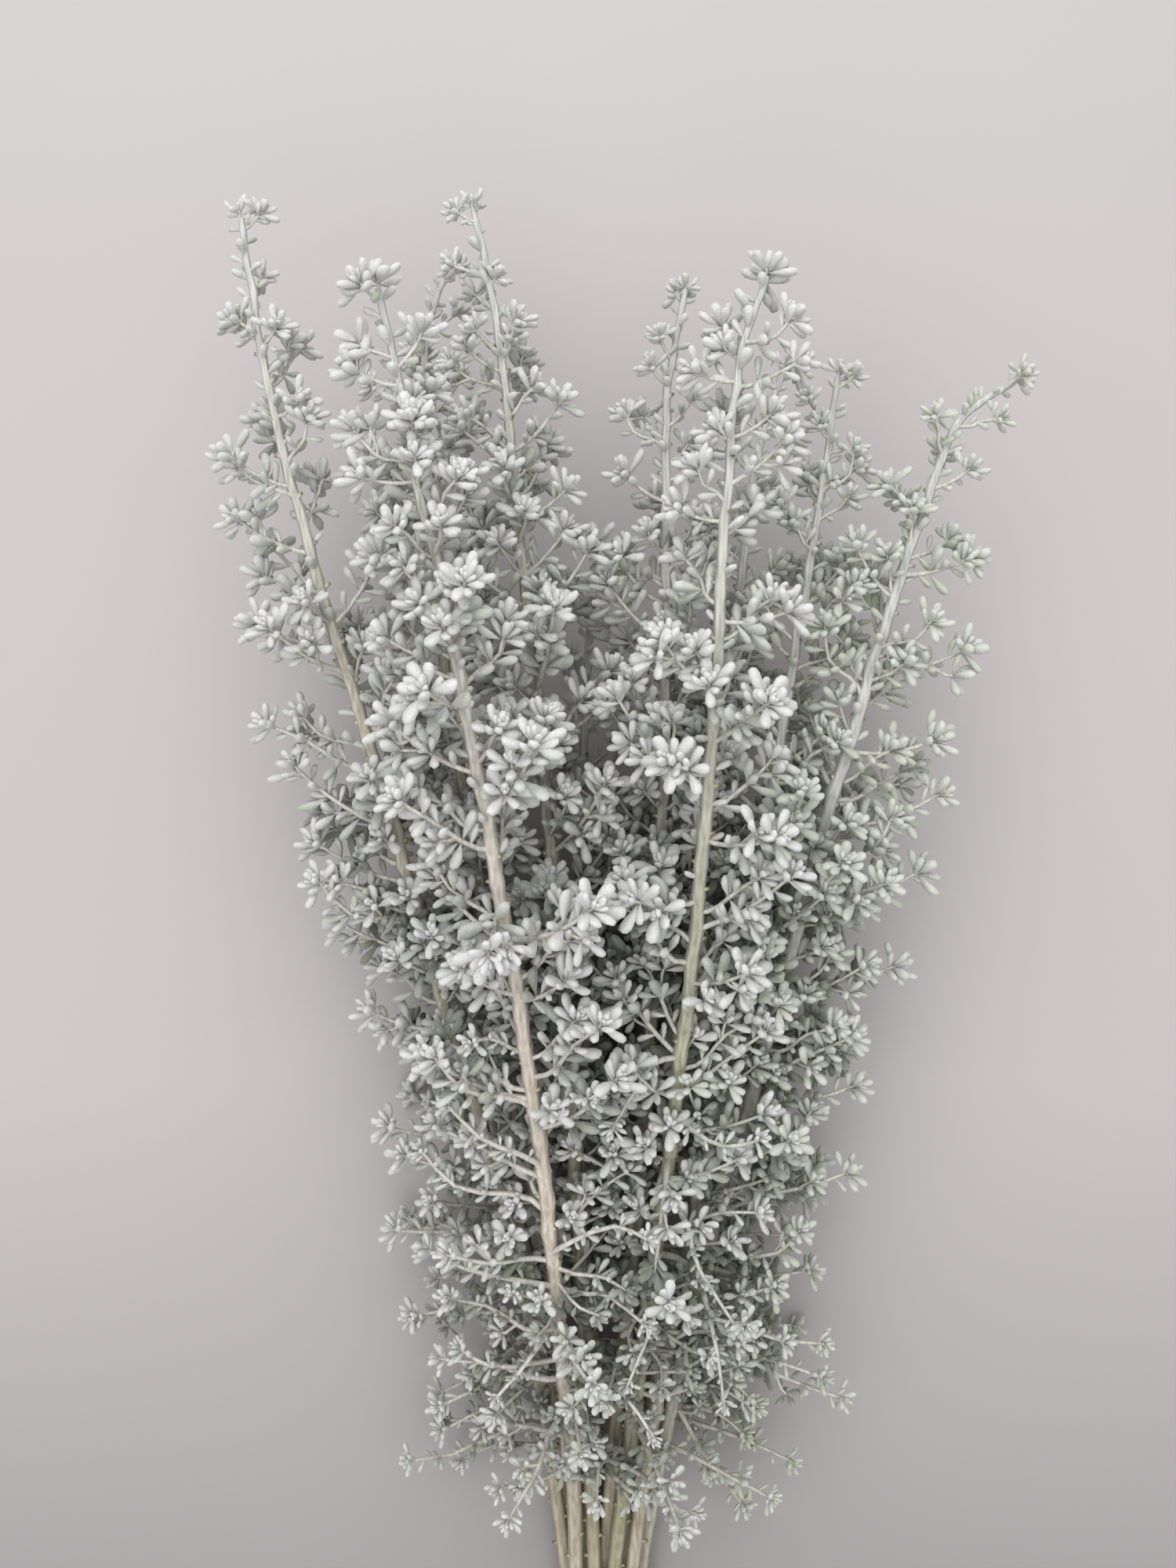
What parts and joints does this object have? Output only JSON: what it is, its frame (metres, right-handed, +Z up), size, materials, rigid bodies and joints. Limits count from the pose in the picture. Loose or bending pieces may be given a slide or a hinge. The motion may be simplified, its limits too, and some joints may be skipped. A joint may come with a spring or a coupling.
{
  "type": "bunch of cut bluebush stems",
  "caption": "Cut bunch of pearl bluebush laid flat: woody stems fan out from an elastic band, with side sprays of small, club-shaped, felted silver-grey leaves.",
  "frame": {"origin": "on the surface the bunch lies on, under the middle of its footprint", "axes": "+Y along the stems from the cut ends to the tips, +Z up from the surface, +X to the right of the bunch seen from above with the tips up"},
  "size_m": [0.2054, 0.4776, 0.1174],
  "materials": {
    "felted_leaf": "matte",
    "stem_bark": "matte",
    "band_rubber": "satin"
  },
  "bodies": {
    "root": {"stem_far_left": "felted_leaf", "stem_nodding": "felted_leaf", "stem_front_left": "felted_leaf", "stem_left": "felted_leaf", "stem_right": "felted_leaf", "stem_front_right": "felted_leaf", "stem_back_right": "felted_leaf", "stem_upper_right": "felted_leaf", "stem_far_right": "felted_leaf", "stem_under_left": "felted_leaf", "stem_under_mid": "felted_leaf", "stem_under_right": "felted_leaf", "stem_under_far_right": "felted_leaf", "elastic_band": "band_rubber"}
  },
  "joints": []
}
